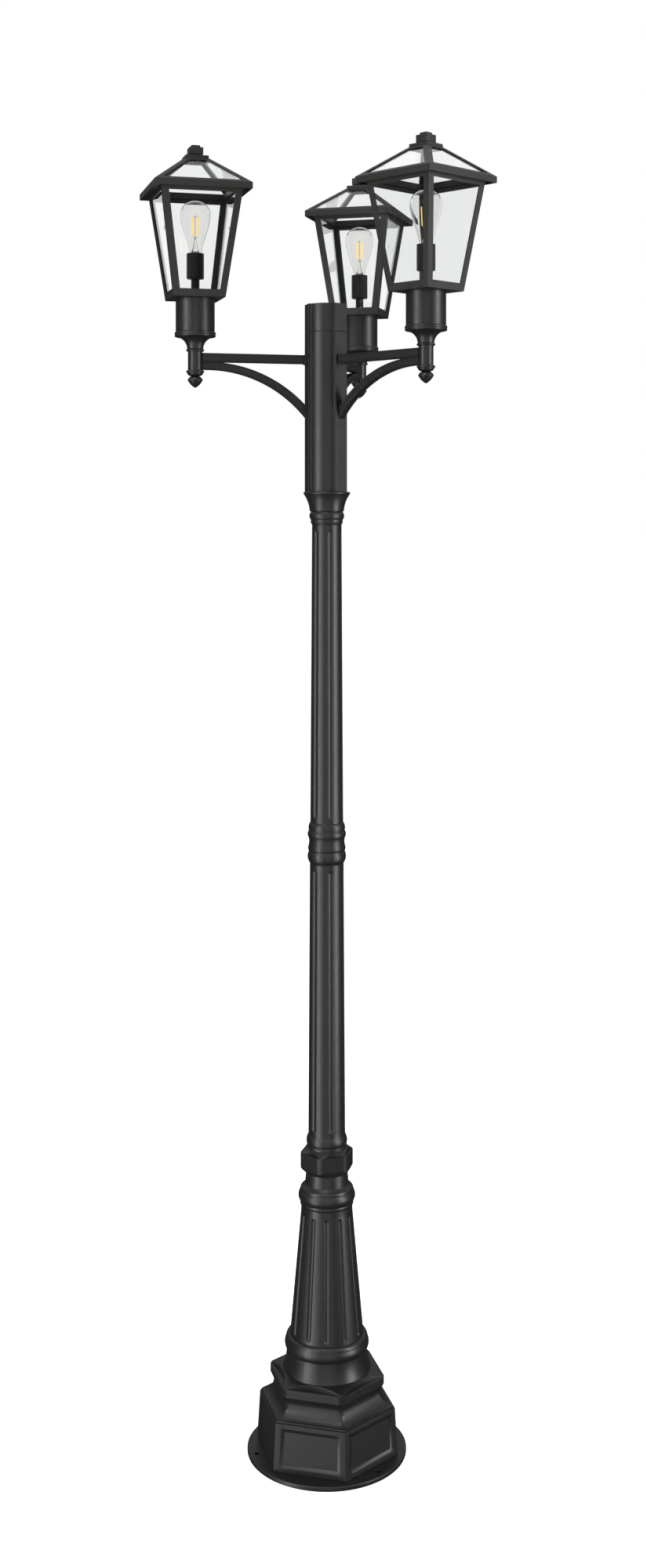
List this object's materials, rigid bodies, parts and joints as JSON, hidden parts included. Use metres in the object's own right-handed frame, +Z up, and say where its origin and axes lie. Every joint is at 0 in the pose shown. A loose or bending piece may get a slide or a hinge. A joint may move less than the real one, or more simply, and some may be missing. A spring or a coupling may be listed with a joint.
{
  "type": "triple head lamp post",
  "caption": "Tall garden lamp post: fluted shaft on a hexagonal pedestal, round hub with bracketed arms, and square tapered glass lanterns with hipped roofs.",
  "frame": {"origin": "middle of the ground plate's underside, on the post's axis", "axes": "+Z up the post; the arms point at -30, 90 and 210 degrees from +X, seen from above, so one lantern stands over +Y"},
  "size_m": [0.774, 0.6703, 2.778],
  "materials": {
    "post_coat": "satin black powder coat on cast aluminium",
    "lantern_coat": "satin black powder coat with a fine grain on folded sheet",
    "screw_steel": "blackened steel socket screws",
    "sleeve_steel": "plain steel tube, hidden",
    "socket_black": "black lamp socket sleeve",
    "clear_glass": "clear float glass",
    "bulb_glass": "clear blown glass",
    "cap_nickel": "nickel plated screw cap",
    "filament_amber": "lit amber filament sticks on a glass mount"
  },
  "bodies": {
    "post": {"ground_plate": "post_coat", "pedestal_box": "post_coat", "pedestal_crown": "post_coat", "fluted_pedestal": "post_coat", "foot_sleeve": "sleeve_steel", "collar_nut": "post_coat", "lower_shaft": "post_coat", "shaft_coupling": "post_coat", "coupling_sleeve": "sleeve_steel", "upper_shaft": "post_coat", "capital": "post_coat", "hub": "post_coat", "hub_cap": "post_coat", "hub_screws": "screw_steel", "arm_finials": "post_coat", "right_arm_bar": "post_coat", "right_arm_brace": "post_coat", "right_arm_spindle": "post_coat", "rear_arm_bar": "post_coat", "rear_arm_brace": "post_coat", "rear_arm_spindle": "post_coat", "left_arm_bar": "post_coat", "left_arm_brace": "post_coat", "left_arm_spindle": "post_coat"},
    "right_lantern": {"right_fitter": "post_coat", "right_fitter_screws": "screw_steel", "right_lantern_frame": "lantern_coat", "right_side_panes": "clear_glass", "right_lamp_stem": "post_coat", "right_lamp_socket": "socket_black"},
    "right_roof": {"right_roof_frame": "lantern_coat", "right_roof_panes": "clear_glass"},
    "right_finial": {"right_roof_finial": "lantern_coat"},
    "right_bulb": {"right_bulb_cap": "cap_nickel", "right_bulb_glass": "bulb_glass", "right_filament": "filament_amber"},
    "rear_lantern": {"rear_fitter": "post_coat", "rear_fitter_screws": "screw_steel", "rear_lantern_frame": "lantern_coat", "rear_side_panes": "clear_glass", "rear_lamp_stem": "post_coat", "rear_lamp_socket": "socket_black"},
    "rear_roof": {"rear_roof_frame": "lantern_coat", "rear_roof_panes": "clear_glass"},
    "rear_finial": {"rear_roof_finial": "lantern_coat"},
    "rear_bulb": {"rear_bulb_cap": "cap_nickel", "rear_bulb_glass": "bulb_glass", "rear_filament": "filament_amber"},
    "left_lantern": {"left_fitter": "post_coat", "left_fitter_screws": "screw_steel", "left_lantern_frame": "lantern_coat", "left_side_panes": "clear_glass", "left_lamp_stem": "post_coat", "left_lamp_socket": "socket_black"},
    "left_roof": {"left_roof_frame": "lantern_coat", "left_roof_panes": "clear_glass"},
    "left_finial": {"left_roof_finial": "lantern_coat"},
    "left_bulb": {"left_bulb_cap": "cap_nickel", "left_bulb_glass": "bulb_glass", "left_filament": "filament_amber"}
  },
  "joints": [
    {"name": "right_lantern_swivel", "type": "hinge", "parent": "post", "child": "right_lantern", "pos_m": [0.24768, -0.143, 2.386], "axis": [0, 0, 1], "range_deg": [-180, 180]},
    {"name": "right_roof_lift", "type": "slide", "parent": "right_lantern", "child": "right_roof", "axis": [0, 0, 1], "range_m": [0, 0.25]},
    {"name": "right_finial_turn", "type": "hinge", "parent": "right_roof", "child": "right_finial", "pos_m": [0.24768, -0.143, 2.755], "axis": [0, 0, 1], "continuous": true},
    {"name": "right_bulb_unscrew", "type": "slide", "parent": "right_lantern", "child": "right_bulb", "axis": [0, 0, 1], "range_m": [0, 0.028]},
    {"name": "rear_lantern_swivel", "type": "hinge", "parent": "post", "child": "rear_lantern", "pos_m": [0, 0.286, 2.386], "axis": [0, 0, 1], "range_deg": [-180, 180]},
    {"name": "rear_roof_lift", "type": "slide", "parent": "rear_lantern", "child": "rear_roof", "axis": [0, 0, 1], "range_m": [0, 0.25]},
    {"name": "rear_finial_turn", "type": "hinge", "parent": "rear_roof", "child": "rear_finial", "pos_m": [0, 0.286, 2.755], "axis": [0, 0, 1], "continuous": true},
    {"name": "rear_bulb_unscrew", "type": "slide", "parent": "rear_lantern", "child": "rear_bulb", "axis": [0, 0, 1], "range_m": [0, 0.028]},
    {"name": "left_lantern_swivel", "type": "hinge", "parent": "post", "child": "left_lantern", "pos_m": [-0.24768, -0.143, 2.386], "axis": [0, 0, 1], "range_deg": [-180, 180]},
    {"name": "left_roof_lift", "type": "slide", "parent": "left_lantern", "child": "left_roof", "axis": [0, 0, 1], "range_m": [0, 0.25]},
    {"name": "left_finial_turn", "type": "hinge", "parent": "left_roof", "child": "left_finial", "pos_m": [-0.24768, -0.143, 2.755], "axis": [0, 0, 1], "continuous": true},
    {"name": "left_bulb_unscrew", "type": "slide", "parent": "left_lantern", "child": "left_bulb", "axis": [0, 0, 1], "range_m": [0, 0.028]}
  ]
}
